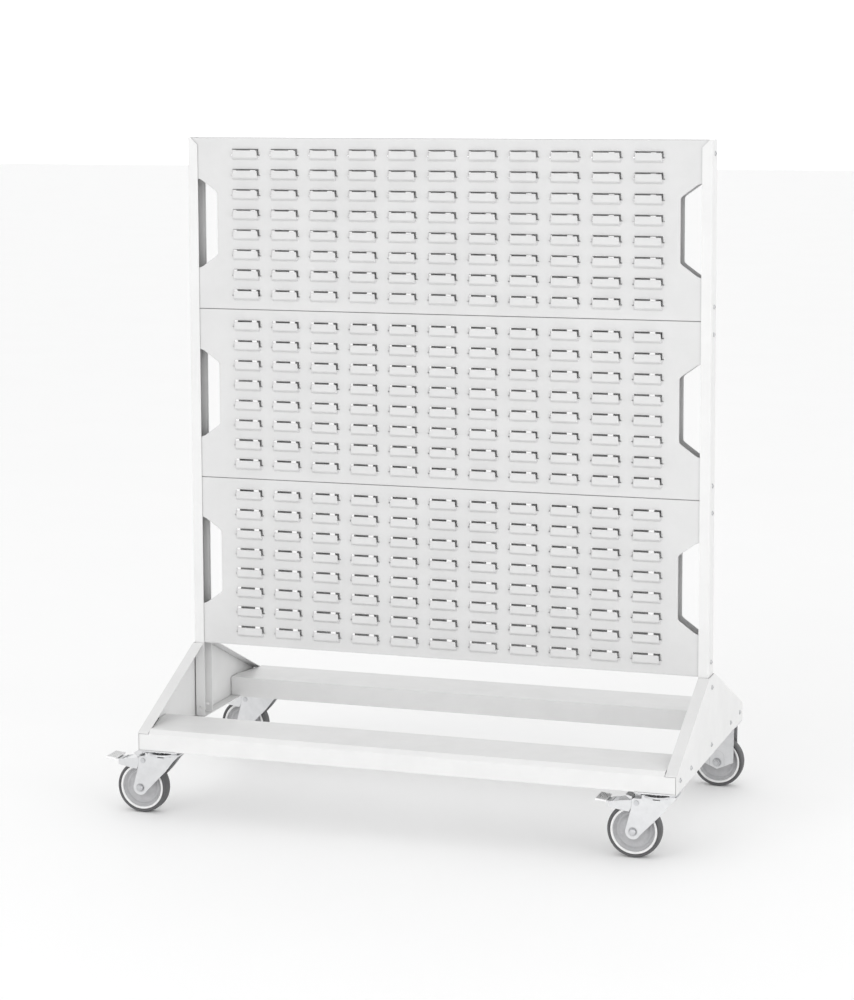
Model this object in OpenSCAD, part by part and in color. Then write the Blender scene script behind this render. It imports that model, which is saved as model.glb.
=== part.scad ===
// Mobile double-sided panel rack: two folded uprights carry three louvre panels on the front and
// three perforated panels on the back. They stand on two gusset feet joined by two folded beams,
// and the rack rolls on four castors.
// Millimetres, +Z up, front towards -Y, origin on the floor at the middle of the overall box.

/* [Rack] */
// Width over the uprights
rack_w = 1300; // [1290:10:1400]
// Height from the floor to the top of the uprights
rack_h = 1600; // [1590:1:1640]
// Depth over the base beams
base_d = 724; // [700:2:760]
// Height of the base underside above the floor
base_z = 160; // [158:1:162]
// Colour of the coated sheet parts
coat = "whitesmoke"; // [whitesmoke, gainsboro, lightgray]

/* [Uprights] */
// Depth of the channel over its two flanges
channel_d = 50; // [48:1:60]
// Width of each channel flange
flange_w = 25; // [22:1:27]
// Sheet thickness of the uprights
channel_t = 2; // [1.5:0.5:2]

/* [Panels] */
// Panels stacked on each side of the rack
panel_count = 3; // [3:1:3]
// Height of the lowest panel's bottom edge
panel_z = 350; // [345:1:355]
// Sheet thickness of the panels
panel_t = 1.5; // [1:0.5:1.5]
// Louvres in a row
louvre_cols = 11; // [9:2:11]
// Rows of louvres on a panel
louvre_rows = 8; // [6:1:8]
// Sideways spacing of the louvres
col_pitch = 100; // [90:1:100]
// Upward spacing of the louvres
row_pitch = 48.7; // [46:0.1:49]
// Width of a louvre
louvre_w = 68; // [60:1:72]
// Height of a louvre from its open edge to its lower bend
louvre_h = 23; // [20:1:24]
// How far a louvre stands out from the sheet
louvre_out = 7; // [6:0.5:8]
// Side of a square hole in the rear panels
hole_side = 13.5; // [9:0.5:14]
// Sideways spacing of the square holes
hole_pitch = 50; // [40:5:50]

/* [Base] */
// Height of the beams
beam_h = 50; // [46:1:52]
// Depth of each beam
beam_d = 157; // [150:1:160]
// Sheet thickness of the beams and feet
base_t = 2; // [1.5:0.5:2.5]

/* [Castors] */
// Wheel diameter
wheel_d = 125; // [123:1:125]
// Tread width
wheel_w = 32; // [28:1:32]
// Offset of the wheel axle behind the swivel axis
trail = 54.5; // [50:0.5:56]
// Sideways position of the castor plates from the middle
castor_x = 603; // [590:1:603]
// Front-to-back position of the castor plates from the middle
castor_y = 320; // [316:1:320]

/* [Hidden] */
$fn = 64;
fit = 0.05;          // radial clearance of a shaft that turns in its bore
gap = 0.1;           // clearance between sheets that lie on each other
eps = 0.01;

// Uprights
up_x = rack_w / 2;
ch_y = channel_d / 2;
up_z0 = base_z + 5;
bend_r = 3;          // outer radius of the channel's folds
up_chamfer = 18;
flange_hole_r = 4;
flange_hole_x = 12;  // from the outer face
flange_hole_z = base_z + 23;

// Panels
panel_pitch = (rack_h - panel_z) / panel_count;
seam = 0.7;
panel_h = panel_pitch - seam;
panel_y = ch_y - channel_t - gap;         // outer face of the sheet
front_half = up_x - channel_t - 0.5;      // half width of a front panel
rear_half = front_half - panel_t - 0.2;   // the rear side flanges lie inside the front ones
lip = 15;                                 // return at the top and bottom edge
side_lip = panel_y + 7;                    // side return, reaches past the middle plane
first_slot = 30;                          // top edge to the first open louvre edge
slot_gap = 3.5;                           // opening above a louvre's free edge
side_gap = 1;                             // cut beside the free part of a louvre
notch_w = 4;
notch_h = 2.5;
notch_z = 12.6;                           // notch below the open edge
ramp_h = 7;                               // height of the bend that carries the louvre out
screw_edge = 32;                          // screw height from a panel's top or bottom edge

// Hand cut-outs
hand_in = 575;       // inner straight edge, from the middle
hand_out = 628;      // outer straight edge, under the upright flange
hand_half_in = 76;
hand_half_out = 108;
hand_slant = 44;     // sideways run of the slanted edges
hand_r = 8;          // corner radius
hole_cols = 23;      // square holes in a row

// Base
foot_out = 653;                            // outer face of the foot's side plate
foot_in = foot_out - base_t;
half_d = base_d / 2;
foot_top = panel_z - 1;
foot_top_y = ch_y + 4;
foot_end_z = base_z + 42;                  // top of the foot's short vertical end
foot_flange = 27;
slope = atan2(foot_top - foot_end_z, half_d - foot_top_y);
beam_in = half_d - beam_d;                 // inner face of a beam
beam_end = foot_in - 1;
beam_chamfer = 10;
beam_t = 2;
end_tab_t = 2;
bolt_line = base_z + 25;
foot_bolt_y = [-half_d + 35, -half_d + 144, half_d - 144, half_d - 35];
foot_bolt_top = foot_top - 27;

// Fasteners
screw_r = 3;
head_r = 5.5;
head_h = 3;
nut_r = 5.77;        // across corners, for a 10 mm hexagon
nut_h = 5;
m8_r = 4;
m8_head_r = 7.5;
m8_head_h = 5.3;
m8_nut_h = 6.5;

// Castors: x is measured from the swivel axis, the wheel trails towards -X
plate_x = 100;
plate_y = 88;
plate_t = 3;
bolt_dx = 37;
bolt_dy = 32;
mount_t = 4;
wheel_r = wheel_d / 2;
tyre_in = 54.5;
hub_half = 20;
bush_r = 8;
axle_r = 5;
axle_z = wheel_r;
leg_in = 21;
leg_t = 2.5;
leg_out = leg_in + leg_t;
race_r = 33;
race_z = base_z - plate_t - 3.5;
fork_top_z = race_z - 5;
fork_top_t = 4;
fork_top_r = 36;
fork_back = 44.5;    // reach of the legs on the side away from the wheel
fork_front = -34;    // start of the web between the legs
king_r = 6;
ball_r = 2.2;
ball_ring_r = 26;
ball_count = 16;
pin_x = -46.4;
pin_z = 129.3;
pin_r = 3.5;
brake_half = leg_in - 0.6;
skirt_t = 2;
tread_tip = 141;     // reach of the pedal from the swivel axis
tread_half = 27;

// The overall box runs from the left pedals to the right screw heads
origin_shift = (castor_x + tread_tip - foot_out - head_h) / 2;

SWIVELS = [["fl", -castor_x, -castor_y], ["fr", castor_x, -castor_y], ["rl", -castor_x, castor_y]];
FIXED = ["rr", castor_x, castor_y];

// ---------- helpers ----------

// Puts a piece drawn about the rack's middle into the part's frame
module in_frame() {
    translate([origin_shift, 0, 0]) children();
}

// Mirrors a right-hand piece to the left when side is -1
module on_side(side) {
    scale_x = side < 0 ? 1 : 0;
    mirror([scale_x, 0, 0]) children();
}

// Mirrors a front piece to the rear when face is 1
module on_face(face) {
    scale_y = face > 0 ? 1 : 0;
    mirror([0, scale_y, 0]) children();
}

// Box from its low corner to its high corner
module box(a, b) {
    translate(a) cube([b[0] - a[0], b[1] - a[1], b[2] - a[2]]);
}

// Rectangle with round corners, centred
module round_rect(w, d, r) {
    square([w - 2 * r, d], center = true);
    square([w, d - 2 * r], center = true);
    for (sx = [-1, 1], sy = [-1, 1]) {
        translate([sx * (w / 2 - r), sy * (d / 2 - r)]) circle(r);
    }
}

// Cylinder along X from x0 to x1 at the given y and z
module rod_x(x0, x1, y, z, r) {
    translate([x0, y, z]) rotate([0, 90, 0]) cylinder(h = x1 - x0, r = r);
}

// Cylinder along Y from y0 to y1 at the given x and z
module rod_y(y0, y1, x, z, r) {
    translate([x, y1, z]) rotate([90, 0, 0]) cylinder(h = y1 - y0, r = r);
}

// Flat outline in the X-Z plane, given thickness along Y from y0 to y1
module slab_y(y0, y1) {
    translate([0, y1, 0]) rotate([90, 0, 0]) linear_extrude(y1 - y0) children();
}

// Flat outline in the Y-Z plane, given thickness along X from x0 to x1
module slab_x(x0, x1) {
    translate([x0, 0, 0]) rotate([90, 0, 90]) linear_extrude(x1 - x0) children();
}

// Heights of the panel screws on one upright
function screw_z(i) = [
    panel_z + i * panel_pitch + screw_edge,
    panel_z + (i + 1) * panel_pitch - screw_edge
];
PANEL_SCREWS = [for (i = [0 : panel_count - 1], z = screw_z(i)) z];

// ---------- uprights ----------

// Strip of the channel from its open side to the web, with folded corners; inset shrinks it
module channel_strip(inset) {
    r = bend_r - inset;
    x1 = up_x - inset;
    y1 = ch_y - inset;
    translate([up_x - flange_w - inset, -y1]) square([flange_w - r, 2 * y1]);
    translate([x1 - r - 1, -y1 + r]) square([r + 1, 2 * (y1 - r)]);
    for (s = [-1, 1]) translate([x1 - r, s * (y1 - r)]) circle(r);
}

// Cross-section of the channel, open towards the rack's middle
module channel_section() {
    difference() {
        channel_strip(0);
        channel_strip(channel_t);
    }
}

module upright(side) {
    color(coat) in_frame() on_side(side) difference() {
        translate([0, 0, up_z0]) linear_extrude(rack_h - up_z0) channel_section();
        // the inner top corner of both flanges is cut at 45 degrees
        slab_y(-ch_y - 1, ch_y + 1) polygon([
            [up_x - flange_w - 1, rack_h - up_chamfer - 1],
            [up_x - flange_w + up_chamfer + 1, rack_h + 1],
            [up_x - flange_w - 1, rack_h + 1]
        ]);
        for (z = PANEL_SCREWS) rod_x(up_x - 10, up_x + 1, 0, z, screw_r + 0.2);
        for (z = [bolt_line, foot_bolt_top]) rod_x(up_x - 10, up_x + 1, 0, z, screw_r + 0.2);
        rod_y(-ch_y - 1, ch_y + 1, up_x - flange_hole_x, flange_hole_z, flange_hole_r);
    }
}

// ---------- panels ----------

// Positions of the louvres: sideways from the middle and down from the panel's top edge
COLS = [for (i = [0 : louvre_cols - 1]) (i - (louvre_cols - 1) / 2) * col_pitch];
ROWS = [for (i = [0 : louvre_rows - 1]) first_slot + i * row_pitch];

// Opening in the sheet behind one louvre, about the middle of its open edge
module louvre_hole() {
    half = louvre_w / 2;
    translate([-half, -notch_z]) square([louvre_w, notch_z + slot_gap]);
    translate([-half - notch_w, -notch_z]) square([louvre_w + 2 * notch_w, notch_h]);
    translate([-half + side_gap, -louvre_h + ramp_h / 2]) square([louvre_w - 2 * side_gap, louvre_h - notch_z]);
}

// Section of a louvre: up the bend, then parallel to the sheet; y is measured outwards
module louvre_section() {
    polygon([
        [0, -louvre_h],
        [louvre_out, -louvre_h + ramp_h],
        [louvre_out, 0],
        [louvre_out - panel_t, 0],
        [louvre_out - panel_t, -louvre_h + ramp_h + 0.6],
        [0, -louvre_h + panel_t + 0.9],
        [-panel_t, -louvre_h + panel_t],
        [-panel_t, -louvre_h]
    ]);
}

// One pressed louvre with its two closed cheeks below the notches
module louvre(half) {
    slab_x(-half, half) louvre_section();
    for (sx = [-1, 1]) {
        x0 = sx < 0 ? -half : half - panel_t;
        slab_x(x0, x0 + panel_t) polygon([
            [-panel_t, -louvre_h],
            [0, -louvre_h],
            [louvre_out, -louvre_h + ramp_h],
            [louvre_out, -notch_z],
            [-panel_t, -notch_z]
        ]);
    }
}

// Outline of a hand cut-out on the right, about the panel's mid height
module hand_hole() {
    offset(r = hand_r, $fn = 32) offset(delta = -hand_r) polygon([
        [hand_in, -hand_half_in], [hand_in + hand_slant, -hand_half_out],
        [hand_out, -hand_half_out], [hand_out, hand_half_out],
        [hand_in + hand_slant, hand_half_out], [hand_in, hand_half_in]
    ]);
}

// Heights of the two screws at each side of a panel, down from its top edge
PANEL_SCREW_Z = [-screw_edge + seam, -panel_h + screw_edge];

// Folded tray of a panel: returns on all four edges, screw holes and hand cut-outs.
// half is its half width, and the children are cut out of the flat of the sheet.
module panel_tray(half) {
    difference() {
        union() {
            slab_y(-panel_y, -panel_y + panel_t) difference() {
                translate([-half, -panel_h]) square([2 * half, panel_h]);
                for (side = [0, 1]) mirror([side, 0]) translate([0, -panel_h / 2]) hand_hole();
                children();
            }
            box([-half, -panel_y, -panel_t], [half, -panel_y + lip, 0]);
            box([-half, -panel_y, -panel_h], [half, -panel_y + lip, -panel_h + panel_t]);
            for (side = [0, 1]) mirror([side, 0, 0]) {
                box([half - panel_t, -panel_y, -panel_h], [half, -panel_y + side_lip, 0]);
            }
        }
        for (z = PANEL_SCREW_Z) rod_x(-half - 1, half + 1, 0, z, screw_r + 0.2);
    }
}

// Puts a panel at its place in the stack
module at_panel(face, i) {
    in_frame() on_face(face) translate([0, 0, panel_z + i * panel_pitch + panel_h]) children();
}

module louvre_panel(i) {
    color("lightgray") at_panel(-1, i) {
        panel_tray(front_half) for (x = COLS, z = ROWS) translate([x, -z]) louvre_hole();
        for (x = COLS, z = ROWS) translate([x, -panel_y, -z]) {
            mirror([0, 1, 0]) louvre(louvre_w / 2 - side_gap);
        }
    }
}

// The square holes lie in rows with the louvres' pitch, centred on the panel
module perforated_panel(i) {
    x0 = (hole_cols - 1) / 2;
    z0 = (louvre_rows - 1) / 2;
    color("lightgray") at_panel(1, i) panel_tray(rear_half) {
        for (ix = [-x0 : x0], iz = [-z0 : z0]) {
            translate([ix * hole_pitch, -panel_h / 2 + iz * row_pitch]) {
                square(hole_side, center = true);
            }
        }
    }
}

// ---------- base ----------

// Side view of a foot: y across, z up
module foot_outline() {
    polygon([
        [-half_d, base_z], [half_d, base_z], [half_d, foot_end_z],
        [foot_top_y, foot_top], [-foot_top_y, foot_top], [-half_d, foot_end_z]
    ]);
}

module foot(side) {
    color(coat) in_frame() on_side(side) difference() {
        union() {
            slab_x(foot_in, foot_out) foot_outline();
            // flanges along the two slopes
            for (face = [0, 1]) mirror([0, face, 0]) slab_x(foot_out - foot_flange, foot_out) {
                polygon([
                    [-foot_top_y, foot_top],
                    [-half_d, foot_end_z],
                    [-half_d, foot_end_z - base_t / cos(slope)],
                    [-foot_top_y, foot_top - base_t / cos(slope)]
                ]);
            }
            // flange along the bottom, between the beams
            box([foot_out - foot_flange, -beam_in + 1, base_z], [foot_out, beam_in - 1, base_z + base_t]);
        }
        for (y = foot_bolt_y) rod_x(foot_in - 1, foot_out + 1, y, bolt_line, screw_r + 0.2);
        for (z = [bolt_line, foot_bolt_top]) rod_x(foot_in - 1, foot_out + 1, 0, z, screw_r + 0.2);
    }
}

// Section of a beam: y measured from its outer face towards the rack's middle
module beam_section(d, h, c) {
    polygon([[0, 0], [d, 0], [d, h], [c, h], [0, h - c]]);
}

module beam(face) {
    z0 = base_z;
    y0 = -half_d;
    chamfer_in = beam_chamfer - 0.6 * beam_t;
    notch_x = foot_out - foot_flange - 1;
    color(coat) in_frame() on_face(face) difference() {
        translate([0, y0, z0]) difference() {
            slab_x(-beam_end, beam_end) beam_section(beam_d, beam_h, beam_chamfer);
            translate([0, beam_t, -eps]) slab_x(-beam_end + end_tab_t, beam_end - end_tab_t) {
                beam_section(beam_d - 2 * beam_t, beam_h - beam_t + eps, chamfer_in);
            }
        }
        // the top is cut back at each end where the foot's slope comes down
        for (side = [0, 1]) mirror([side, 0, 0]) {
            translate([0, 0, foot_end_z - base_t - 1]) linear_extrude(beam_h) polygon([
                [notch_x, y0 - 1], [notch_x, y0 + 25], [beam_end - 3, y0 + beam_d * 0.72],
                [beam_end + 1, y0 + beam_d * 0.72], [beam_end + 1, y0 - 1]
            ]);
            for (y = [y0 + 35, y0 + 144]) rod_x(beam_end - 5, beam_end + 1, y, bolt_line, screw_r + 0.2);
        }
    }
}

// The four plates welded into the beam ends, which carry the castors
module castor_mount_plates() {
    x0 = castor_x - plate_x / 2 - 4;
    x1 = beam_end - end_tab_t - gap;
    y0 = beam_in + beam_t + gap;
    y1 = half_d - beam_t - gap;
    color(coat) in_frame() for (side = [0, 1], face = [0, 1]) {
        mirror([side, 0, 0]) mirror([0, face, 0]) difference() {
            box([x0, y0, base_z], [x1, y1, base_z + mount_t]);
            at_castor_bolts() cylinder(h = mount_t + 2, r = m8_r + 0.5, center = true);
        }
    }
}

// Copies a child to the four bolts of the right-rear castor plate, at the base underside
module at_castor_bolts() {
    for (sx = [-1, 1], sy = [-1, 1]) {
        translate([castor_x + sx * bolt_dx, castor_y + sy * bolt_dy, base_z + mount_t / 2]) children();
    }
}

// ---------- screws, bolts and nuts ----------

// Copies a child to every panel screw, drawn along +X on the right
module at_panel_screws() {
    for (side = [0, 1], z = PANEL_SCREWS) mirror([side, 0, 0]) translate([0, 0, z]) children();
}

// Copies a child to every foot screw, drawn along +X on the right
module at_foot_screws() {
    for (side = [0, 1]) mirror([side, 0, 0]) {
        for (y = foot_bolt_y) translate([0, y, bolt_line]) children();
        for (z = [bolt_line, foot_bolt_top]) translate([0, 0, z]) children();
    }
}

// Button-head screw: its head sits on x = seat, its tip is at x = tip
module button_screw(seat, tip) {
    difference() {
        rotate([0, 90, 0]) rotate_extrude() polygon([
            [0, tip], [screw_r, tip], [screw_r, seat], [head_r, seat],
            [head_r, seat + 0.9], [head_r * 0.78, seat + 2.2], [head_r * 0.4, seat + head_h],
            [0, seat + head_h]
        ]);
        // hexagon recess
        translate([seat + 1.4, 0, 0]) rotate([0, 90, 0]) cylinder(h = head_h, r = 2.3, $fn = 6);
    }
}

// Hexagon nut along X from x0, bored for the screw
module hex_nut_x(x0, h, r, bore) {
    translate([x0, 0, 0]) rotate([0, 90, 0]) difference() {
        cylinder(h = h, r = r, $fn = 6);
        translate([0, 0, -1]) cylinder(h = h + 2, r = bore);
    }
}

module panel_screws() {
    color("silver") in_frame() at_panel_screws() button_screw(up_x, rear_half - panel_t - nut_h - 3);
}

module panel_nuts() {
    color("silver") in_frame() at_panel_screws() {
        hex_nut_x(rear_half - panel_t - gap - nut_h, nut_h, nut_r, screw_r + 0.02);
    }
}

module foot_screws() {
    color("silver") in_frame() at_foot_screws() button_screw(foot_out, up_x - channel_t - nut_h - 4);
}

module foot_nuts() {
    color("silver") in_frame() at_foot_screws() {
        hex_nut_x(up_x - channel_t - gap - nut_h, nut_h, nut_r, screw_r + 0.02);
    }
}

module castor_bolts() {
    color("silver") in_frame() for (side = [0, 1], face = [0, 1]) {
        mirror([side, 0, 0]) mirror([0, face, 0]) at_castor_bolts() {
            translate([0, 0, -mount_t / 2 - plate_t - m8_head_h]) {
                cylinder(h = m8_head_h, r = m8_head_r, $fn = 6);
                cylinder(h = m8_head_h + plate_t + mount_t + m8_nut_h + 4, r = m8_r);
            }
        }
    }
}

module castor_nuts() {
    color("silver") in_frame() for (side = [0, 1], face = [0, 1]) {
        mirror([side, 0, 0]) mirror([0, face, 0]) at_castor_bolts() {
            translate([0, 0, mount_t / 2 + gap]) difference() {
                cylinder(h = m8_nut_h, r = m8_head_r, $fn = 6);
                translate([0, 0, -1]) cylinder(h = m8_nut_h + 2, r = m8_r + 0.02);
            }
        }
    }
}

// ---------- castors ----------

// Moves a castor drawn about its own swivel axis to its place
module at_castor(c) {
    in_frame() translate([c[1], c[2], 0]) children();
}

// Mounting plate with its four bolt holes, top face on the base underside
module castor_plate() {
    translate([0, 0, base_z - plate_t]) linear_extrude(plate_t) difference() {
        round_rect(plate_x, plate_y, 7);
        for (sx = [-1, 1], sy = [-1, 1]) {
            translate([sx * bolt_dx, sy * bolt_dy]) circle(m8_r + 0.5);
        }
    }
}

// Plate of a swivel castor with the upper ball race pressed into it
module swivel_plate(c) {
    color("silver") at_castor(c) difference() {
        union() {
            castor_plate();
            translate([0, 0, race_z]) cylinder(h = base_z - plate_t - race_z, r = race_r);
        }
        translate([0, 0, race_z - 1]) cylinder(h = base_z, r = king_r);
    }
}

// Rivets that hold the forks: shank fixed in the plate, turned flange below the fork
module king_pins() {
    color("silver") for (c = SWIVELS) at_castor(c) {
        translate([0, 0, fork_top_z - fork_top_t - 3]) {
            cylinder(h = base_z - fork_top_z + fork_top_t + 3 - 0.5, r = king_r);
            cylinder(h = 3 - gap, r = 12);
        }
    }
}

module swivel_balls() {
    color("gray") for (c = SWIVELS, i = [0 : ball_count - 1]) at_castor(c) {
        rotate(i * 360 / ball_count) translate([ball_ring_r, 0, (race_z + fork_top_z) / 2]) {
            sphere(ball_r, $fn = 24);
        }
    }
}

// Side view of a swivel fork's leg: x from the swivel axis, z up
module leg_outline() {
    translate([-trail, axle_z]) circle(17.5);
    polygon([
        [-trail - 17.4, axle_z + 2], [-trail - 3, 121], [-trail - 2, 137], [-trail + 1, 139.5],
        [fork_front - 1, 139.5], [fork_front, fork_top_z], [fork_back, fork_top_z],
        [fork_back, fork_top_z - 3.5], [32, 133], [11, 106.3], [-36, 57.5],
        [-trail + 12.4, axle_z - 12.4]
    ]);
}

module fork(c) {
    color("silver") at_castor(c) difference() {
        union() {
            translate([0, 0, fork_top_z - fork_top_t]) cylinder(h = fork_top_t, r = fork_top_r);
            box([fork_front, -leg_out, fork_top_z - fork_top_t], [fork_back, leg_out, fork_top_z]);
            for (face = [0, 1]) mirror([0, face, 0]) slab_y(leg_in, leg_out) leg_outline();
        }
        translate([0, 0, fork_top_z - 20]) cylinder(h = 30, r = king_r + fit);
        rod_y(-leg_out - 1, leg_out + 1, -trail, axle_z, axle_r);
        rod_y(-leg_out - 1, leg_out + 1, pin_x, pin_z, pin_r);
        // slots under the shoulders of the two legs
        for (face = [0, 1]) mirror([0, face, 0]) box([-9, leg_in - 1, 138.5], [8, leg_out + 1, 141.5]);
    }
}

// Side view of the fixed castor's leg
module fixed_leg_outline() {
    polygon([
        [-42, base_z - plate_t], [-41, axle_z + 1], [0, axle_z - 17],
        [41, axle_z + 1], [42, base_z - plate_t]
    ]);
}

// Arched recess around the axle of the fixed castor
module arch_outline() {
    translate([0, axle_z + 12]) circle(18.5);
    translate([-18.5, axle_z - 20]) square([37, 32]);
}

module fixed_fork_rr() {
    recess = 0.8;
    color("silver") at_castor(FIXED) difference() {
        union() {
            castor_plate();
            for (face = [0, 1]) mirror([0, face, 0]) {
                slab_y(leg_in, leg_out) fixed_leg_outline();
                // fold between leg and plate
                box([-42, leg_in, base_z - plate_t - 3], [42, leg_out + 1.5, base_z - plate_t]);
            }
        }
        for (face = [0, 1]) mirror([0, face, 0]) slab_y(leg_out - recess, leg_out + 1) arch_outline();
        rod_y(-leg_out - 1, leg_out + 1, 0, axle_z, axle_r);
    }
}

// Axle bolt: low round head on one side; dir -1 puts the head to the front
module axle_bolt(c, x, dir, seat) {
    face = dir > 0 ? 1 : 0;
    color("silver") at_castor(c) mirror([0, face, 0]) translate([x, 0, axle_z]) rotate([90, 0, 0]) {
        rotate_extrude() polygon([
            [0, -leg_out - 9], [axle_r, -leg_out - 9], [axle_r, seat], [9, seat],
            [9, seat + 2.2], [8, seat + 2.2], [8, seat + 5], [6.8, seat + 6.6], [0, seat + 7]
        ]);
    }
}

// Axle nut with its washer, on the side away from the bolt head
module axle_nut(c, x, dir, seat) {
    face = dir > 0 ? 1 : 0;
    color("silver") at_castor(c) mirror([0, face, 0]) translate([x, seat + gap, axle_z]) {
        rotate([-90, 0, 0]) difference() {
            union() {
                cylinder(h = 1.6, r = 10);
                cylinder(h = 8, r = 9.2, $fn = 6);
            }
            translate([0, 0, -1]) cylinder(h = 12, r = axle_r + 0.02);
        }
    }
}

// Wheel body: broad hub, thin dished web and rim
module wheel_core(c, x) {
    color("darkgray") at_castor(c) translate([x, 0, axle_z]) rotate([90, 0, 0]) {
        rotate_extrude() polygon([
            [bush_r, -hub_half], [14, -hub_half], [18, -11], [30, -6], [44, -6], [48.5, -13.5],
            [tyre_in, -15], [tyre_in, 15], [48.5, 13.5], [44, 6], [30, 6], [18, 11],
            [14, hub_half], [bush_r, hub_half]
        ]);
    }
}

module wheel_bush(c, x) {
    color("white") at_castor(c) translate([x, 0, axle_z]) rotate([90, 0, 0]) {
        difference() {
            cylinder(h = 2 * (leg_in - 0.3), r = bush_r, center = true);
            cylinder(h = 3 * leg_in, r = axle_r + fit, center = true);
        }
    }
}

// Tyre with rounded shoulders
module tyre(c, x) {
    half_w = wheel_w / 2;
    round_r = 7;
    color("dimgray") at_castor(c) translate([x, 0, axle_z]) rotate([90, 0, 0]) rotate_extrude() {
        difference() {
            union() {
                translate([tyre_in, -half_w]) square([wheel_r - tyre_in - round_r, wheel_w]);
                translate([tyre_in, -half_w + round_r]) {
                    square([wheel_r - tyre_in, wheel_w - 2 * round_r]);
                }
                for (s = [-1, 1]) {
                    translate([wheel_r - round_r, s * (half_w - round_r)]) circle(round_r);
                }
            }
            translate([0, -half_w - 1]) square([tyre_in, wheel_w + 2]);
        }
    }
}

// ---------- brakes ----------

// Two rivets on one axis, one through each leg of the fork
module brake_pin(c) {
    color("silver") at_castor(c) for (face = [0, 1]) mirror([0, face, 0]) {
        rod_y(brake_half - skirt_t - 1, leg_out + 1, pin_x, pin_z, pin_r);
        rod_y(leg_out + gap, leg_out + 1.6, pin_x, pin_z, pin_r + 1.8);
    }
}

// Pedal lever: skirts beside the tyre, plates between them, a shoe above the tread and a tongue
module brake_lever(c) {
    color("silver") at_castor(c) difference() {
        union() {
            for (face = [0, 1]) mirror([0, face, 0]) slab_y(brake_half - skirt_t, brake_half) {
                polygon([
                    [-112, 127], [-111, 114.5], [-105, 113], [-64.5, 106.8], [-57, 121],
                    [pin_x + 4, 124], [pin_x + 6, 130], [pin_x + 3, 134.5], [-57, 135]
                ]);
            }
            // plate above the tyre
            slab_y(-brake_half, brake_half) polygon([
                [pin_x + 3, 132.5], [-57, 133], [-88, 129.2], [-88, 131.2], [-57, 135], [pin_x + 3, 134.5]
            ]);
            // plate and tongue below the tread
            slab_y(-brake_half, brake_half) polygon([
                [-112, 125], [-104, 126], [-104, 128], [-112, 127]
            ]);
            slab_y(-14, 14) polygon([
                [-tread_tip + 5, 127.2], [-111, 125.1], [-111, 127.1], [-tread_tip + 5, 129]
            ]);
            // shoe that meets the tyre
            slab_y(-12, 12) polygon([
                [-87, 122.9], [-80, 125.3], [-70, 127], [-66, 133], [-87, 130.3]
            ]);
            // release pad
            slab_y(-16, 16) polygon([
                [-59, 134], [-62, 134], [-74, 143.5], [-73, 145], [-58, 141]
            ]);
        }
        rod_y(-leg_in, leg_in, pin_x, pin_z, pin_r + fit);
    }
}

// Ribbed foot tread on the lever's tongue
module brake_tread(c) {
    color("darkgray") at_castor(c) difference() {
        slab_y(-tread_half, tread_half) polygon([
            [-tread_tip, 131], [-tread_tip + 1, 134.5], [-116, 131.8], [-115, 129],
            [-116, 127.55], [-tread_tip + 5, 129.1], [-tread_tip + 5, 128], [-tread_tip + 1, 128.5]
        ]);
        for (i = [0 : 4]) {
            slab_y(-tread_half - 1, tread_half + 1) {
                translate([-tread_tip + 4 + i * 4.2, 133 - i * 0.45]) square([1.8, 3]);
            }
        }
    }
}

// ---------- one line per node ----------

upright(-1);  // upright_left
upright(1);  // upright_right
louvre_panel(0);  // louvre_panel_bottom
louvre_panel(1);  // louvre_panel_middle
louvre_panel(2);  // louvre_panel_top
perforated_panel(0);  // perforated_panel_bottom
perforated_panel(1);  // perforated_panel_middle
perforated_panel(2);  // perforated_panel_top
foot(-1);  // foot_left
foot(1);  // foot_right
beam(-1);  // beam_front
beam(1);  // beam_rear
castor_mount_plates();
panel_screws();
panel_nuts();
foot_screws();
foot_nuts();
castor_bolts();
castor_nuts();
swivel_plate(SWIVELS[0]);  // swivel_plate_fl
swivel_plate(SWIVELS[1]);  // swivel_plate_fr
swivel_plate(SWIVELS[2]);  // swivel_plate_rl
king_pins();
swivel_balls();
fixed_fork_rr();
axle_bolt(FIXED, 0, 1, leg_out - 0.8);  // axle_bolt_rr
axle_nut(FIXED, 0, 1, leg_out - 0.8);  // axle_nut_rr
fork(SWIVELS[0]);  // fork_fl
axle_bolt(SWIVELS[0], -trail, -1, leg_out);  // axle_bolt_fl
axle_nut(SWIVELS[0], -trail, -1, leg_out);  // axle_nut_fl
brake_pin(SWIVELS[0]);  // brake_pin_fl
brake_lever(SWIVELS[0]);  // brake_lever_fl
brake_tread(SWIVELS[0]);  // brake_tread_fl
fork(SWIVELS[1]);  // fork_fr
axle_bolt(SWIVELS[1], -trail, -1, leg_out);  // axle_bolt_fr
axle_nut(SWIVELS[1], -trail, -1, leg_out);  // axle_nut_fr
brake_pin(SWIVELS[1]);  // brake_pin_fr
brake_lever(SWIVELS[1]);  // brake_lever_fr
brake_tread(SWIVELS[1]);  // brake_tread_fr
fork(SWIVELS[2]);  // fork_rl
axle_bolt(SWIVELS[2], -trail, -1, leg_out);  // axle_bolt_rl
axle_nut(SWIVELS[2], -trail, -1, leg_out);  // axle_nut_rl
brake_pin(SWIVELS[2]);  // brake_pin_rl
brake_lever(SWIVELS[2]);  // brake_lever_rl
brake_tread(SWIVELS[2]);  // brake_tread_rl
wheel_core(SWIVELS[0], -trail);  // wheel_core_fl
wheel_bush(SWIVELS[0], -trail);  // wheel_bush_fl
tyre(SWIVELS[0], -trail);  // tyre_fl
wheel_core(SWIVELS[1], -trail);  // wheel_core_fr
wheel_bush(SWIVELS[1], -trail);  // wheel_bush_fr
tyre(SWIVELS[1], -trail);  // tyre_fr
wheel_core(SWIVELS[2], -trail);  // wheel_core_rl
wheel_bush(SWIVELS[2], -trail);  // wheel_bush_rl
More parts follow.
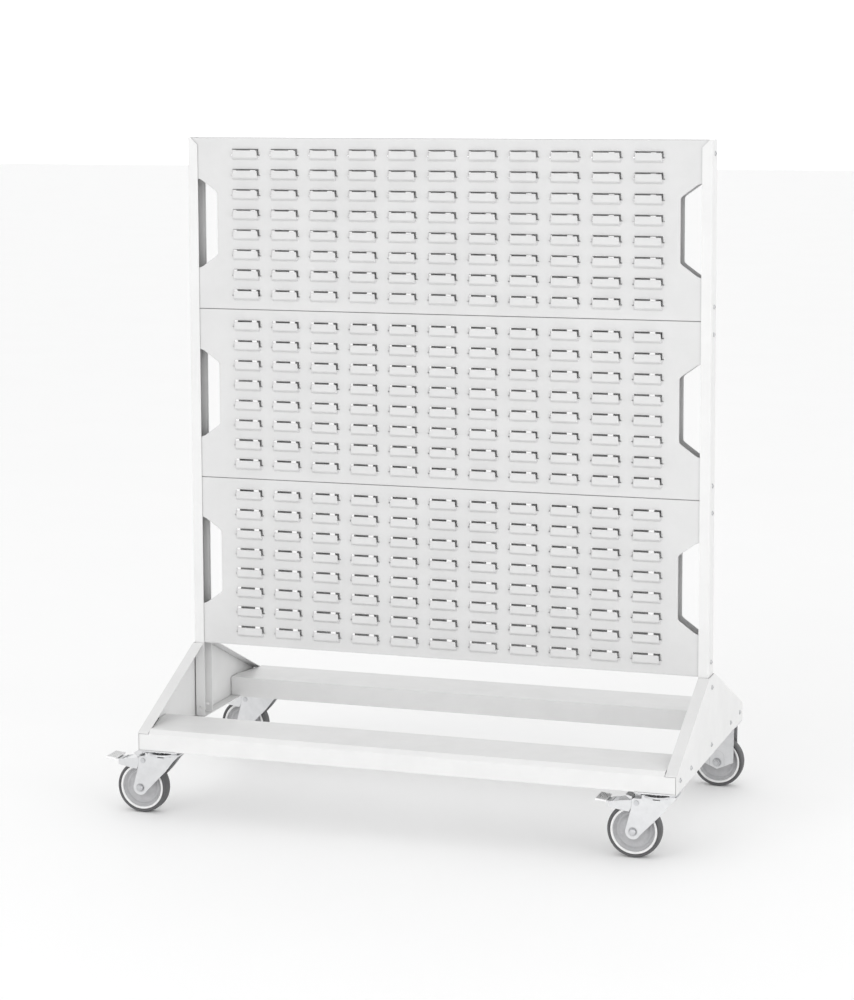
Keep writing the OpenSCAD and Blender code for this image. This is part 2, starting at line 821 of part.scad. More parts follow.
tyre(SWIVELS[2], -trail);  // tyre_rl
wheel_core(FIXED, 0);  // wheel_core_rr
wheel_bush(FIXED, 0);  // wheel_bush_rr
tyre(FIXED, 0);  // tyre_rr
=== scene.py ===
"""Looks of a mobile panel rack: louvre and perforated panel skins, wheels, finishes, light and camera."""

import bpy
import numpy as np
from mathutils import Matrix, Vector


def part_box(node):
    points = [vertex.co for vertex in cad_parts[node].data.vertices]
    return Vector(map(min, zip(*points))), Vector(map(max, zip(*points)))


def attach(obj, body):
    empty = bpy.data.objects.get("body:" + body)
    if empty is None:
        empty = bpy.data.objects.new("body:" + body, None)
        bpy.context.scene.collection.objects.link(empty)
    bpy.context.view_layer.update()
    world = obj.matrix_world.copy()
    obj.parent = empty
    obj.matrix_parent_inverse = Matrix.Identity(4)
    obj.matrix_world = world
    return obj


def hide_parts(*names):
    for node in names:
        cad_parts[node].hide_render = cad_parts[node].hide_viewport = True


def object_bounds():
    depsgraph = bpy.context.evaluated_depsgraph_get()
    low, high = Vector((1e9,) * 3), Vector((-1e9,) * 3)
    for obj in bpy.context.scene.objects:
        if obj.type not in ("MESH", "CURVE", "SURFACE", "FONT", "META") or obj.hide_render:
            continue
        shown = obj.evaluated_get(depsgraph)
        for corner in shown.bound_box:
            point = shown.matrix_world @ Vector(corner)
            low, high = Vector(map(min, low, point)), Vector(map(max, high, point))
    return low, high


bl_info = {
    "name": "Mobile Panel Rack",
    "version": (1, 0, 0),
    "blender": (4, 5, 0),
    "location": "3D View > Sidebar > Rack",
    "description": "Sheet skins, wheels, finishes, light and camera of a mobile panel rack",
    "category": "Object",
}

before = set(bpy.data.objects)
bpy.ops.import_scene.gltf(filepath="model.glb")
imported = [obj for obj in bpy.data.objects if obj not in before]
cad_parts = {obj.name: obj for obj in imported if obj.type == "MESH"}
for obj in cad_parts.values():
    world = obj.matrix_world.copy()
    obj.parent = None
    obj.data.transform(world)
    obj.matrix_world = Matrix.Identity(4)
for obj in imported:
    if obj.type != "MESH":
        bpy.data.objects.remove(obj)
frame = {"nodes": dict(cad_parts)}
CAD_LOW, CAD_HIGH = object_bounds()

MM = 0.001
LEVELS = ("bottom", "middle", "top")
CORNERS = ("fl", "fr", "rl", "rr")
BRAKED = ("fl", "fr", "rl")

ROWS, LOUVRE_COLS, HOLE_COLS = 8, 11, 23
NEAR = 0.01  # mm within which a grid line counts as the line that is meant

# louvre, in mm from its middle line and from its free edge, which is its top one
LOUVRE_ACROSS = np.array([30.6, 32.4, 33.4, 34, 38])
LOUVRE_UP = [0, -1, -10.4, -12.6, -12.9, -16.4, -17.7, -19.3, -21.6, -23, -23.8]
LOUVRE_MIDDLE = 11.0
SIDE_WALL = ([30.6, 32.4, 33.4, 34], [1, 0.82, 0.32, 0])
BACK_SLOPE = ([-23.8, -23, -21.6, -19.3, -17.7, -16.4], np.array([0, 0.3, 1.9, 5.2, 6.65, 7]) / 7)
SIDE_CUT = (32.4, 34)
SIDE_CUT_FOOT, SIDE_NOTCH = -12.6, -10.4
TAPER = 0.045
CORNER_TRIM = 1.1

# hand cut-out, in mm from the panel's middle: the grid lines round it, and where three of them bend to
GRIP_LINES = np.array([571, 575, 628, 632.0])
GRIP_IN, GRIP_OUT, GRIP_HIGH = 575, 628, 108
GRIP_UP = np.array([72, 75, 77, 80, 104, 106.5, 107.7, 108])
GRIP_BENDS = (
    (GRIP_IN, [0, 72, 75, 77, 80, 104, 106.5, 107.7, 108, 109],
     [575, 575, 575.7, 577.4, 580.5, 613.6, 618.6, 622, 624, 575]),
    (GRIP_OUT, [0, 104, 106.5, 107.7, 108, 109], [628, 628, 627.2, 625.6, 624.6, 628]),
    (571, [0, 72, 80, 104, 108, 109], [571, 571, 576, 609, 616, 571]),
)

# wheel outlines in mm, (radius, place along the axle), for the side that faces +Y
TYRE_SIDE = [
    (54.6, 13), (55.4, 14.3), (56.6, 14.5), (57.2, 15.3), (59.4, 15.6), (61, 14.2),
    (62.1, 11), (62.45, 7), (62.5, 3),
]
RIM_SIDE = [(48.6, 12.6), (49.6, 14.2), (50.6, 14.8), (53.2, 14.8), (54.2, 14.2), (54.5, 13)]
DISH_SIDE = [
    (8.05, 20), (13, 20), (14, 19.3), (16.5, 12), (18, 11), (25, 8), (26, 7.2), (35, 6.6),
    (36, 7.6), (40.5, 7.6), (41.5, 6.4), (44, 6.6), (46.5, 11), (48.5, 12.4),
]

WORLD_SHADE = (0.15, 0.9, 1.0, 0.62)  # the surround fades from white to grey between these two heights
FLOOR_HALF = 40.0
LAMPS = (  # name, spot, target or None for the rack's middle, size, strength beside the key's
    ("key", (-2.6, -5.2, 3.4), None, 3.2, 2.6),
    ("fill", (6.0, -2.4, 1.6), None, 3.0, 3.0),
    ("low", (0.4, -5.4, 0.5), (0.2, 0, 0.1), 1.0, 1.8),
)
CAMERA_TURN = (18.389, 6.515, -0.223)  # degrees to the left, down and over
CAMERA_SPOT = (1.9126, -5.9090, 1.7581)
SPOT_ZERO = 0.044  # the camera's spot is counted from this far right of the overall box's middle


# ---------- settings ----------


def length(name, text, mm):
    """A length property whose default is given in millimetres."""
    return bpy.props.FloatProperty(name=name, description=text, default=mm * MM, unit="LENGTH", precision=4)


def tone(name, text, red, green=None, blue=None):
    """A colour property; a single number makes a grey."""
    colour = (red, red if green is None else green, red if blue is None else blue)
    return bpy.props.FloatVectorProperty(
        name=name, description=text, default=colour, subtype="COLOR", size=3, min=0, max=1)


class RackSheet(bpy.types.PropertyGroup):
    """Sizes of the panel skins."""

    thickness: length("Thickness", "Sheet thickness of the panels", 1.5)
    fold: length("Fold radius", "Outer radius of the folds at the panel edges", 2.0)
    lip: length("Lip", "Depth of the returns at the top and bottom edge", 14.5)
    side_lip: length("Side lip", "Depth of the returns at the two ends", 29.5)
    col_pitch: length("Louvre spacing", "Sideways spacing of the louvres", 100)
    row_pitch: length("Row spacing", "Upward spacing of louvres and holes", 48.7)
    first_slot: length("First slot", "Top edge of a panel to its first open louvre edge", 30)
    louvre_out: length("Louvre depth", "How far a louvre stands out", 7)
    slot_gap: length("Slot", "Opening above a louvre's free edge", 3.5)
    hole_pitch: length("Hole spacing", "Sideways spacing of the square holes", 50)
    hole: length("Hole", "Side of a square hole", 13.5)


class RackFinish(bpy.types.PropertyGroup):
    """Colours and surface detail."""

    peel: length("Orange peel", "Height of the ripple in the powder coat", 0.03)
    ripple: length("Ripple size", "Width of one ripple in the powder coat", 1.6)
    edge: length("Edge radius", "Rounding of folded and cut sheet edges", 0.45)
    grain: length("Grain", "Width of one grain in the zinc and the plastics", 0.9)
    panel: tone("Panels", "Powder coat of the panels", 0.64)
    # painted shade: a darker tone of the coat on the louvre panels' inner side, where the inside of the rack
    # shows through the slots
    inner_shade_front: tone("Louvre panels inside", "Thin coat on the inner side of the louvre panels", 0.48)
    # painted light: a lighter tone of the coat on the perforated panels' inner side, where it shows through
    # the louvre slots
    inner_light_rear: tone("Perforated panels inside", "Thin coat on the inner side of the perforated panels", 0.66)
    frame: tone("Frame", "Powder coat of uprights, feet and beams", 0.735, 0.735, 0.733)
    zinc: tone("Zinc", "Bright zinc of the pressed parts", 0.73, 0.735, 0.745)
    turned: tone("Turned zinc", "Zinc of screws, bolts, nuts and pins", 0.6, 0.605, 0.62)
    tyre: tone("Tyres", "Rubber of the tyres", 0.085, 0.085, 0.088)
    rim: tone("Rims", "Plastic of the pale ring beside the tyre", 0.74)
    dish: tone("Wheel bodies", "Plastic of the dished wheel bodies", 0.4, 0.4, 0.41)
    tread: tone("Pedal treads", "Plastic of the pedal treads", 0.8)
    bush: tone("Bushes", "Nylon of the wheel bushes", 0.78, 0.78, 0.75)


class RackStage(bpy.types.PropertyGroup):
    """Light and camera."""

    key: bpy.props.FloatProperty(name="Key", description="Strength of the soft key light", default=0.13)
    world: bpy.props.FloatProperty(name="Surround", description="Strength of the white surround", default=1.3)
    lens: bpy.props.FloatProperty(
        name="Lens", description="Focal length", default=94.29, subtype="DISTANCE_CAMERA")
    shift: bpy.props.FloatProperty(name="Rise", description="Vertical shift of the camera", default=-0.13)


# ---------- meshes ----------


def add_mesh(name, body, points, faces):
    """Object with these points (n, 3) in metres and these quads (m, 4), riding on a body."""
    used, index = np.unique(faces, return_inverse=True)
    points, faces = points[used], index.reshape(faces.shape)
    mesh = bpy.data.meshes.new(name)
    mesh.vertices.add(len(points))
    mesh.vertices.foreach_set("co", points.astype(np.float32).ravel())
    mesh.loops.add(faces.size)
    mesh.loops.foreach_set("vertex_index", faces.astype(np.int32).ravel())
    mesh.polygons.add(len(faces))
    mesh.polygons.foreach_set("loop_start", np.arange(0, faces.size, 4, dtype=np.int32))
    mesh.polygons.foreach_set("use_smooth", np.full(len(faces), True))
    mesh.update(calc_edges=True)
    if mesh.validate():
        raise RuntimeError(f"{name}: the mesh had faces that Blender would not take")
    obj = bpy.data.objects.new(name, mesh)
    bpy.context.scene.collection.objects.link(obj)
    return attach(obj, body)


def grid_faces(rows, cols, flip=False, wrap=False):
    """Quads of a rows by cols grid of points; wrap joins the last column to the first."""
    i, j = np.meshgrid(np.arange(rows - 1), np.arange(cols if wrap else cols - 1), indexing="ij")
    k = (j + 1) % cols
    quads = np.stack([i * cols + j, i * cols + k, (i + 1) * cols + k, (i + 1) * cols + j], -1)
    return quads[..., ::-1] if flip else quads


def lathe(name, body, centre, profile, segments=96):
    """Closed ring turned about an axis along Y: profile rows are (radius, place along the axis) in mm,
    listed anticlockwise in the half plane, and point = centre + (r cos t, a, r sin t)."""
    loop = np.vstack([profile, profile[:1]])
    turn = np.arange(segments) * 2 * np.pi / segments
    r, a = loop[:, :1] * MM, loop[:, 1:] * MM
    points = np.stack([r * np.cos(turn), a + 0 * turn, r * np.sin(turn)], -1) + np.array(centre)
    quads = grid_faces(len(loop), segments, wrap=True).reshape(-1, 4)
    quads = np.where(quads >= (len(loop) - 1) * segments, quads - (len(loop) - 1) * segments, quads)
    return add_mesh(name, body, points[:-1].reshape(-1, 3), quads)


def symmetric(side):
    """Profile closed by its own mirror image in the wheel's middle plane."""
    side = np.array(side, float)
    return np.vstack([side, side[::-1] * (1, -1)])


# ---------- panel skins ----------


def fold_lines(half, lip, r):
    """Positions and depths, in mm, of the grid lines that carry the sheet round one folded edge."""
    t = np.radians([0, 30, 60, 90])
    place = np.append(half - r + r * np.sin(t), half)
    depth = np.append(r * np.cos(t) - r, -lip)
    return place, depth


def with_folds(flat, half, lip, r):
    """Grid lines of the flat, sorted, with the folded lines added at both ends."""
    place, depth = fold_lines(half, lip, r)
    flat = np.unique(np.round(flat, 3))
    flat = flat[np.abs(flat) < half - r - 0.5]
    line = np.concatenate([-place[::-1], flat, place])
    return line, np.concatenate([depth[::-1], 0 * flat, depth])


def panel_skin(name, body, lo, hi, sheet, front):
    """One sheet as a single grid. The grid lines pass through every edge of the openings. A point lies at
    (x, depth of the folds + stand-out of the louvre, z), and the cells inside openings are left out.
    The inner border line of a hand cut-out is bent to the cut-out's slanted outline."""
    out = sheet.louvre_out / MM if front else 0.0
    half_x = (hi.x - lo.x) / 2 / MM
    half_z = (hi.z - lo.z) / 2 / MM
    r = sheet.fold / MM
    gap_up = sheet.slot_gap / MM
    if front:
        rows = half_z - sheet.first_slot / MM - np.arange(ROWS) * sheet.row_pitch / MM
        cols = (np.arange(LOUVRE_COLS) - LOUVRE_COLS // 2) * sheet.col_pitch / MM
        side = LOUVRE_ACROSS
        over = np.array([gap_up, *LOUVRE_UP])
    else:
        rows = (np.arange(ROWS) - (ROWS - 1) / 2) * sheet.row_pitch / MM
        cols = (np.arange(HOLE_COLS) - HOLE_COLS // 2) * sheet.hole_pitch / MM
        side = np.array([sheet.hole / 2 / MM])
        over = np.array([-1, 1]) * sheet.hole / 2 / MM
    across = np.concatenate([-side[::-1], side])
    flat_x = np.concatenate([(cols[:, None] + across).ravel(), -GRIP_LINES, GRIP_LINES])
    flat_z = np.concatenate([(rows[:, None] + over).ravel(), -GRIP_UP, GRIP_UP, [0]])
    x, dx = with_folds(flat_x, half_x, sheet.side_lip / MM, r)
    z, dz = with_folds(flat_z, half_z, sheet.lip / MM, r)
    zz, xx = np.meshgrid(z, x, indexing="ij")
    yy = dz[:, None] + dx[None, :]

    # position inside the louvre or hole that a point is nearest to
    near_c = cols[np.abs(xx[..., None] - cols).argmin(-1)]
    middle = LOUVRE_MIDDLE if front else 0.0
    near_r = rows[np.abs(zz[..., None] - rows + middle).argmin(-1)]
    u, v = xx - near_c, zz - near_r
    if front:
        # the back slopes up from the flat sheet; below the side cuts the side walls join it to the sheet,
        # above them it is free, tapers a little and has its corners trimmed
        au = np.abs(u)
        below = v < SIDE_CUT_FOOT - 0.1
        edge = np.abs(au - SIDE_CUT[0]) < 0.5
        free = (au < SIDE_CUT[0] + 0.1) * 1.0
        rise = np.interp(v, *BACK_SLOPE)
        form = rise * np.where(below, np.interp(au, *SIDE_WALL), free) * (v < NEAR)
        taper = np.interp(v, [SIDE_CUT_FOOT, 0], [0, TAPER]) * (form > 0) * ~below
        corner = (np.abs(v) < NEAR) * edge * CORNER_TRIM
        yy = yy + out * form
        xx = near_c + np.sign(u) * (au * (1 - taper) - corner)

    # hand cut-outs: the inner line follows the slant, the outer one rounds the ends
    az, ax = np.abs(zz), np.abs(xx)
    for place, heights, bent in GRIP_BENDS:
        xx = np.where(np.abs(ax - place) < NEAR, np.sign(xx) * np.interp(az, heights, bent), xx)

    # cells that stay
    mu, mv = u[:-1, :-1] * 0.5 + u[1:, 1:] * 0.5, v[:-1, :-1] * 0.5 + v[1:, 1:] * 0.5
    cx, cz = (x[:-1] + x[1:]) / 2, (z[:-1] + z[1:]) / 2
    same = (near_c[:-1, :-1] == near_c[1:, 1:]) & (near_r[:-1, :-1] == near_r[1:, 1:])
    if front:
        amu = np.abs(mu)
        gap = (amu < SIDE_CUT[1]) & (mv > 0) & (mv < gap_up)
        gap |= (amu > SIDE_CUT[0]) & (amu < SIDE_CUT[1]) & (mv > SIDE_CUT_FOOT) & (mv < gap_up)
        gap |= (amu > SIDE_CUT[1]) & (amu < side[-1]) & (mv > SIDE_CUT_FOOT) & (mv < SIDE_NOTCH)
    else:
        gap = (np.abs(mu) < side[0]) & (np.abs(mv) < side[0])
    gap &= same
    hand = (np.abs(cx) > GRIP_IN) & (np.abs(cx) < GRIP_OUT)
    gap |= hand[None, :] & (np.abs(cz) < GRIP_HIGH)[:, None]
    lip_x = np.arange(len(cx)) % (len(cx) - 1) == 0
    lip_z = np.arange(len(cz)) % (len(cz) - 1) == 0
    gap |= lip_x[None, :] & lip_z[:, None]

    way = -1 if front else 1
    face = lo.y + sheet.louvre_out if front else hi.y
    points = np.stack([
        (lo.x + hi.x) / 2 + xx * MM,
        face + way * yy * MM,
        (lo.z + hi.z) / 2 + zz * MM,
    ], -1)
    quads = grid_faces(len(z), len(x), flip=not front)[~gap]
    obj = add_mesh(name, body, points.reshape(-1, 3), quads.reshape(-1, 4))
    solid = obj.modifiers.new("sheet", "SOLIDIFY")
    solid.thickness = sheet.thickness
    solid.offset = -1
    # the inner side takes the second material: painted shade on the louvre panels, painted light on the
    # perforated panels
    solid.material_offset = 1
    weight = obj.modifiers.new("normals", "WEIGHTED_NORMAL")
    weight.weight = 80
    return obj


# ---------- materials ----------


def map_range(tree, value, low, high, a, b):
    """Node output with value mapped from low..high to a..b."""
    node = tree.nodes.new("ShaderNodeMapRange")
    tree.links.new(value, node.inputs["Value"])
    for key, number in zip(("From Min", "From Max", "To Min", "To Max"), (low, high, a, b)):
        node.inputs[key].default_value = number
    return node.outputs["Result"]


class Nodes:
    """Small helper that adds shader nodes and links to one material."""

    def __init__(self, name):
        self.mat = bpy.data.materials.new(name)
        self.mat.use_nodes = True
        self.tree = self.mat.node_tree
        self.shader = self.tree.nodes["Principled BSDF"]
        self.place = self.add("ShaderNodeTexCoord").outputs["Object"]

    def add(self, kind, **values):
        node = self.tree.nodes.new(kind)
        for key, value in values.items():
            setattr(node, key, value)
        return node

    def link(self, a, b):
        self.tree.links.new(a, b)

    def noise(self, size, detail=2.0, rough=0.5, stretch=(1, 1, 1)):
        """Noise whose features are about size metres wide, stretched along the axes."""
        scale = self.add("ShaderNodeVectorMath", operation="MULTIPLY")
        self.link(self.place, scale.inputs[0])
        scale.inputs[1].default_value = [s / size for s in stretch]
        node = self.add("ShaderNodeTexNoise")
        self.link(scale.outputs[0], node.inputs["Vector"])
        node.inputs["Scale"].default_value = 1.0
        node.inputs["Detail"].default_value = detail
        node.inputs["Roughness"].default_value = rough
        return node.outputs["Fac"]

    def ramp(self, value, low, high, a, b):
        """value mapped from low..high to a..b."""
        return map_range(self.tree, value, low, high, a, b)

    def mix(self, value, dark, light):
        """Colour between dark and light by value."""
        node = self.add("ShaderNodeMix", data_type="RGBA")
        self.link(value, node.inputs["Factor"])
        node.inputs["A"].default_value = (*dark, 1)
        node.inputs["B"].default_value = (*light, 1)
        return node.outputs["Result"]

    def bump(self, height, distance, strength=1.0):
        """Normal of a surface that rises by height times distance metres."""
        node = self.add("ShaderNodeBump")
        self.link(height, node.inputs["Height"])
        node.inputs["Distance"].default_value = distance
        node.inputs["Strength"].default_value = strength
        return node.outputs["Normal"]

    def painted_crevice_shade(self, colour, reach, depth):
        """Colour with painted shade: darkened by ambient occlusion in corners and round fasteners, within
        reach metres, by up to depth.
        """
        near = self.add("ShaderNodeAmbientOcclusion", samples=6)
        near.inputs["Distance"].default_value = reach
        grey = self.ramp(near.outputs["AO"], 0.25, 0.9, 1 - depth, 1)
        node = self.add("ShaderNodeMix", data_type="RGBA", blend_type="MULTIPLY")
        node.inputs["Factor"].default_value = 1.0
        self.link(colour, node.inputs["A"])
        self.link(grey, node.inputs["B"])
        return node.outputs["Result"]

    def finish(self, colour, rough, normal, **constants):
        """Links the three to the surface and sets its other values."""
        self.link(colour, self.shader.inputs["Base Color"])
        self.link(rough, self.shader.inputs["Roughness"])
        self.link(normal, self.shader.inputs["Normal"])
        for key, number in constants.items():
            self.shader.inputs[key].default_value = number
        return self.mat


def coat_material(name, light, look):
    """Powder coat: fine orange peel, slow change of gloss, faint handling marks in the colour."""
    n = Nodes(name)
    dark = [t * 0.965 for t in light]
    colour = n.mix(n.ramp(n.noise(0.09, 4, 0.6), 0.35, 0.6, 0, 1), dark, light)
    rough = n.ramp(n.noise(0.03, 5, 0.65), 0.3, 0.7, 0.34, 0.46)
    normal = n.bump(n.noise(look.ripple, 1.5), look.peel)
    # painted shade: the coat colour is darkened in corners and round fasteners by ambient occlusion
    colour = n.painted_crevice_shade(colour, 0.005, 0.45)
    return n.finish(colour, rough, normal, Metallic=0.0, IOR=1.5)


def zinc_material(name, light, look):
    """Bright zinc on pressed steel: cloudy colour, drawn grain, small dents of the grain."""
    n = Nodes(name)
    dark = [t * 0.92 for t in light]
    colour = n.mix(n.ramp(n.noise(0.02, 3, 0.6), 0.3, 0.7, 0, 1), dark, light)
    # painted shade: the zinc colour is darkened in corners and round fasteners by ambient occlusion
    colour = n.painted_crevice_shade(colour, 0.004, 0.75)
    rough = n.ramp(n.noise(look.grain, 3, 0.6, (1, 1, 0.15)), 0.3, 0.7, 0.3, 0.4)
    normal = n.bump(n.noise(look.grain, 3), 0.012 * MM, 0.5)
    return n.finish(colour, rough, normal, Metallic=1.0)


def plastic_material(name, dark, smooth, dull, look, height=0.03):
    """Moulded plastic or rubber: fine grain, slightly dusty patches that are lighter and duller."""
    n = Nodes(name)
    dusty = n.ramp(n.noise(0.018, 5, 0.7), 0.42, 0.72, 0, 1)
    light = [min(t * 1.14 + 0.008, 1) for t in dark]
    colour = n.mix(dusty, dark, light)
    rough = n.ramp(n.noise(0.01, 4, 0.6), 0.3, 0.7, smooth, dull)
    normal = n.bump(n.noise(look.grain * 0.7, 2), height * MM)
    # painted shade: the plastic colour is darkened in corners and crevices by ambient occlusion
    colour = n.painted_crevice_shade(colour, 0.004, 0.5)
    return n.finish(colour, rough, normal, Metallic=0.0, IOR=1.5)


def paint(objects, material):
    """Gives objects one material."""
    for obj in objects:
        obj.data.materials.clear()
        obj.data.materials.append(material)


def inner_light_and_shade(objects, material):
    """Second material, which the Solidify modifier gives to the inner side of a sheet: another tone of the
    coat, painted shade inside the louvre panels and painted light inside the perforated ones.
    """
    for obj in objects:
        obj.data.materials.append(material)


# ---------- operators ----------


def panel_skins(kind, nodes, sheet, front):
    """Skins that take the place of the three panels of one side of the rack."""
    skins = []
    for level in LEVELS:
        node = f"{nodes}_{level}"
        skins.append(panel_skin(f"{kind}_{level}", "rack", *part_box(node), sheet, front))
        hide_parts(node)
    return skins


class RACK_OT_front_panels(bpy.types.Operator):
    """Build the skins of the three louvre panels"""

    bl_idname = "rack.front_panels"
    bl_label = "Louvre Panels"

    def execute(self, context):
        sheet, look = context.scene.rack_sheet, context.scene.rack_finish
        skins = panel_skins("louvre_skin", "louvre_panel", sheet, True)
        paint(skins, coat_material("panel_coat", look.panel, look))
        # painted shade: the louvre panels' inner side gets a darker tone of the coat
        inner_light_and_shade(skins, coat_material("thin_coat_front", look.inner_shade_front, look))
        return {"FINISHED"}


class RACK_OT_rear_panels(bpy.types.Operator):
    """Build the skins of the three perforated panels"""

    bl_idname = "rack.rear_panels"
    bl_label = "Perforated Panels"

    def execute(self, context):
        sheet, look = context.scene.rack_sheet, context.scene.rack_finish
        skins = panel_skins("perforated_skin", "perforated_panel", sheet, False)
        paint(skins, coat_material("rear_panel_coat", look.panel, look))
        # painted light: the perforated panels' inner side gets a lighter tone of the coat
        inner_light_and_shade(skins, coat_material("thin_coat_rear", look.inner_light_rear, look))
        return {"FINISHED"}


class RACK_OT_wheels(bpy.types.Operator):
    """Build tyre, rim ring and dished body of the four wheels"""

    bl_idname = "rack.wheels"
    bl_label = "Wheels"

    def execute(self, context):
        look = context.scene.rack_finish
        tyres, rims, dishes = [], [], []
        for corner in CORNERS:
            lo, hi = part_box(f"tyre_{corner}")
            body, centre = f"wheel_{corner}", (lo + hi) / 2
            rings = ((tyres, "tyre", TYRE_SIDE), (rims, "rim", RIM_SIDE), (dishes, "dish", DISH_SIDE))
            for made, part, side in rings:
                made.append(lathe(f"{part}_skin_{corner}", body, centre, symmetric(side)))
            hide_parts(f"tyre_{corner}")
            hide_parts(f"wheel_core_{corner}")
        paint(tyres, plastic_material("tyre_rubber", look.tyre, 0.5, 0.68, look, 0.05))
        paint(rims, plastic_material("rim_plastic", look.rim, 0.3, 0.42, look))
        paint(dishes, plastic_material("wheel_plastic", look.dish, 0.38, 0.52, look))
        return {"FINISHED"}


class RACK_OT_coated_parts(bpy.types.Operator):
    """Give uprights, feet and beams their powder coat and soft folded edges"""

    bl_idname = "rack.coated_parts"
    bl_label = "Coated Frame"

    def execute(self, context):
        look = context.scene.rack_finish
        names = ("upright_left", "upright_right", "foot_left", "foot_right", "beam_front", "beam_rear",
                 "castor_mount_plates")
        parts = [frame["nodes"][n] for n in names]
        paint(parts, coat_material("frame_coat", look.frame, look))
        for part in parts:
            soften(part, look.edge)
        return {"FINISHED"}


class RACK_OT_zinc_parts(bpy.types.Operator):
    """Give castor forks, pedals, screws, bolts and nuts their zinc finish"""

    bl_idname = "rack.zinc_parts"
    bl_label = "Zinc Parts"

    def execute(self, context):
        look = context.scene.rack_finish
        names = ["panel_screws", "panel_nuts", "foot_screws", "foot_nuts", "castor_bolts", "castor_nuts",
                 "king_pins", "swivel_balls", "fixed_fork_rr", "axle_bolt_rr", "axle_nut_rr"]
        for part in ("swivel_plate", "fork", "axle_bolt", "axle_nut", "brake_pin", "brake_lever"):
            names += [f"{part}_{corner}" for corner in BRAKED]
        parts = [frame["nodes"][n] for n in names]
        paint(parts, zinc_material("zinc", look.zinc, look))
        turned = [p for p in parts if any(word in p.name for word in ("screw", "nut", "bolt", "pin"))]
        paint(turned, zinc_material("turned_zinc", look.turned, look))
        for part in parts:
            if any(word in part.name for word in ("fork", "lever", "plate")):
                soften(part, look.edge)
        return {"FINISHED"}


class RACK_OT_plastic_parts(bpy.types.Operator):
    """Give pedal treads and wheel bushes their plastics"""

    bl_idname = "rack.plastic_parts"
    bl_label = "Plastic Parts"

    def execute(self, context):
        look = context.scene.rack_finish
        treads = [frame["nodes"][f"brake_tread_{c}"] for c in BRAKED]
        bushes = [frame["nodes"][f"wheel_bush_{c}"] for c in CORNERS]
        paint(treads, plastic_material("tread_plastic", look.tread, 0.45, 0.6, look))
        paint(bushes, plastic_material("nylon", look.bush, 0.35, 0.5, look))
        for part in treads:
            soften(part, look.edge * 0.8)
        return {"FINISHED"}


def soften(obj, radius):
    """Welds the triangles, merges those of one plane and rounds the sharp edges."""
    weld = obj.modifiers.new("weld", "WELD")
    weld.merge_threshold = 0.00001
    plane = obj.modifiers.new("planes", "DECIMATE")
    plane.decimate_type = "DISSOLVE"
    plane.angle_limit = np.radians(0.5)
    bevel = obj.modifiers.new("edges", "BEVEL")
    bevel.width = radius
    bevel.segments = 2
    bevel.limit_method = "ANGLE"
    bevel.angle_limit = np.radians(40)
    weight = obj.modifiers.new("normals", "WEIGHTED_NORMAL")
    weight.weight = 80


def soft_light(name, spot, target, size, watts):
    """Square area lamp at spot, facing target."""
    lamp = bpy.data.lights.new(name, "AREA")
    lamp.size = size
    lamp.energy = watts
    obj = bpy.data.objects.new(name, lamp)
    bpy.context.scene.collection.objects.link(obj)
    obj.location = spot
    obj.rotation_euler = (Vector(target) - Vector(spot)).to_track_quat("-Z", "Y").to_euler()


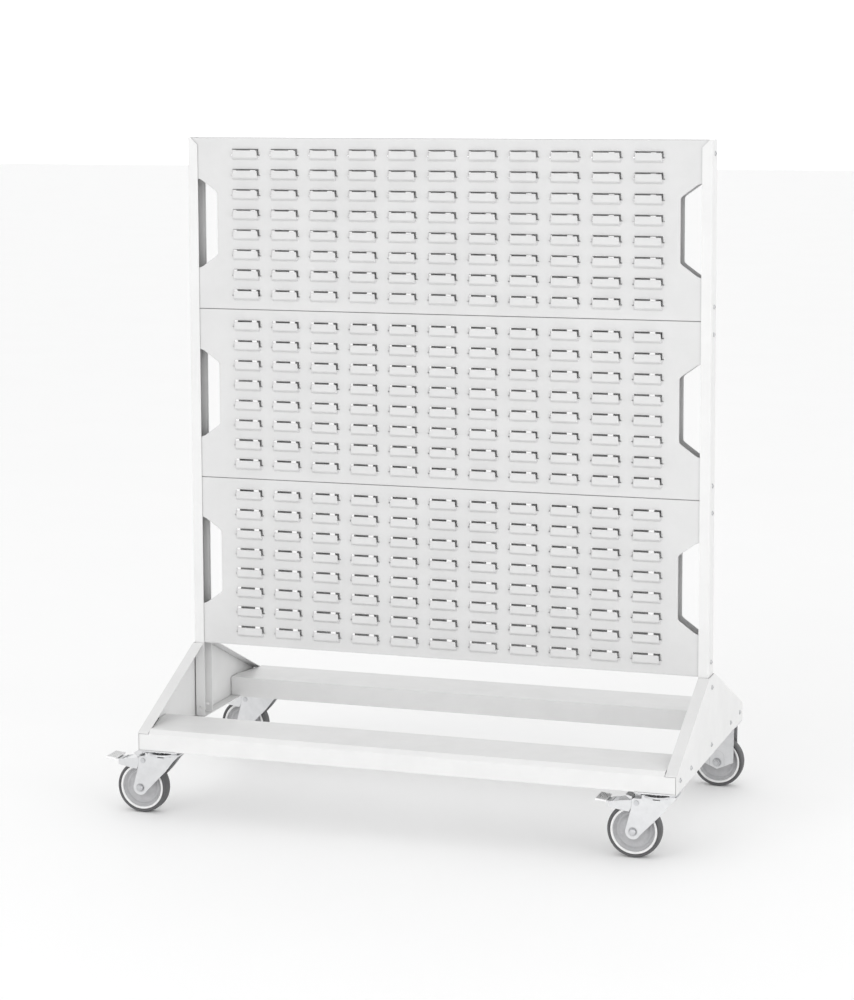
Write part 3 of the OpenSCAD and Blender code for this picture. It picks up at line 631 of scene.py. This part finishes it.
class RACK_OT_stage(bpy.types.Operator):
    """Add the pale floor, the soft light and the camera"""

    bl_idname = "rack.stage"
    bl_label = "Floor, Light and Camera"

    def execute(self, context):
        scene, stage = context.scene, context.scene.rack_stage
        scene.view_settings.view_transform = "Standard"
        scene.view_settings.look = "None"
        world = bpy.data.worlds.new("surround")
        scene.world = world
        world.use_nodes = True
        tree = world.node_tree
        ground = tree.nodes["Background"]
        upward = tree.nodes.new("ShaderNodeSeparateXYZ")
        tree.links.new(tree.nodes.new("ShaderNodeTexCoord").outputs["Generated"], upward.inputs[0])
        tree.links.new(map_range(tree, upward.outputs["Z"], *WORLD_SHADE), ground.inputs["Color"])
        ground.inputs["Strength"].default_value = stage.world

        n = Nodes("floor")
        colour = n.mix(n.noise(0.6, 3), (0.965, 0.965, 0.965), (0.985, 0.985, 0.985))
        rough = n.ramp(n.noise(0.05, 3), 0, 1, 0.6, 0.75)
        n.finish(colour, rough, n.bump(n.noise(0.004, 2), 0.00005), IOR=1.3)
        corners = [(x * FLOOR_HALF, y * FLOOR_HALF, 0) for x, y in ((-1, -1), (1, -1), (1, 1), (-1, 1))]
        mesh = bpy.data.meshes.new("floor")
        mesh.from_pydata(corners, [], [(0, 1, 2, 3)])
        floor = bpy.data.objects.new("floor", mesh)
        scene.collection.objects.link(floor)
        mesh.materials.append(n.mat)

        middle = (CAD_LOW + CAD_HIGH) / 2
        power = 100 * stage.key
        for name, spot, target, size, share in LAMPS:
            soft_light(name, spot, target or middle, size, share * power)

        lens = bpy.data.cameras.new("camera")
        lens.sensor_fit = "VERTICAL"
        lens.sensor_height = 36.0
        lens.lens = stage.lens
        lens.shift_y = stage.shift
        lens.clip_end = 200
        camera = bpy.data.objects.new("camera", lens)
        scene.collection.objects.link(camera)
        scene.camera = camera
        yaw, pitch, roll = np.radians(CAMERA_TURN)
        turn = (Matrix.Rotation(yaw, 4, "Z") @ Matrix.Rotation(np.pi / 2 - pitch, 4, "X")
                @ Matrix.Rotation(roll, 4, "Z"))
        spot = Vector(CAMERA_SPOT) + Vector((middle.x + SPOT_ZERO, 0, 0))
        camera.matrix_world = Matrix.Translation(spot) @ turn
        return {"FINISHED"}


class RACK_PT_panel(bpy.types.Panel):
    """Sidebar with one button for each group of parts"""

    bl_idname = "RACK_PT_panel"
    bl_label = "Mobile Panel Rack"
    bl_space_type = "VIEW_3D"
    bl_region_type = "UI"
    bl_category = "Rack"

    def draw(self, context):
        for operator in OPERATORS:
            self.layout.operator(operator.bl_idname)
        for group in (context.scene.rack_sheet, context.scene.rack_finish, context.scene.rack_stage):
            column = self.layout.column(align=True)
            for name in group.bl_rna.properties.keys():
                if name not in ("rna_type", "name"):
                    column.prop(group, name)


OPERATORS = (
    RACK_OT_front_panels, RACK_OT_rear_panels, RACK_OT_wheels, RACK_OT_coated_parts,
    RACK_OT_zinc_parts, RACK_OT_plastic_parts, RACK_OT_stage,
)
CLASSES = (RackSheet, RackFinish, RackStage, *OPERATORS, RACK_PT_panel)


def register():
    for item in CLASSES:
        bpy.utils.register_class(item)
    bpy.types.Scene.rack_sheet = bpy.props.PointerProperty(type=RackSheet)
    bpy.types.Scene.rack_finish = bpy.props.PointerProperty(type=RackFinish)
    bpy.types.Scene.rack_stage = bpy.props.PointerProperty(type=RackStage)


def unregister():
    for name in ("rack_sheet", "rack_finish", "rack_stage"):
        delattr(bpy.types.Scene, name)
    for item in reversed(CLASSES):
        bpy.utils.unregister_class(item)


def main():
    register()
    for operator in OPERATORS:
        group, name = operator.bl_idname.split(".")
        getattr(getattr(bpy.ops, group), name)()


if __name__ == "__main__":
    main()
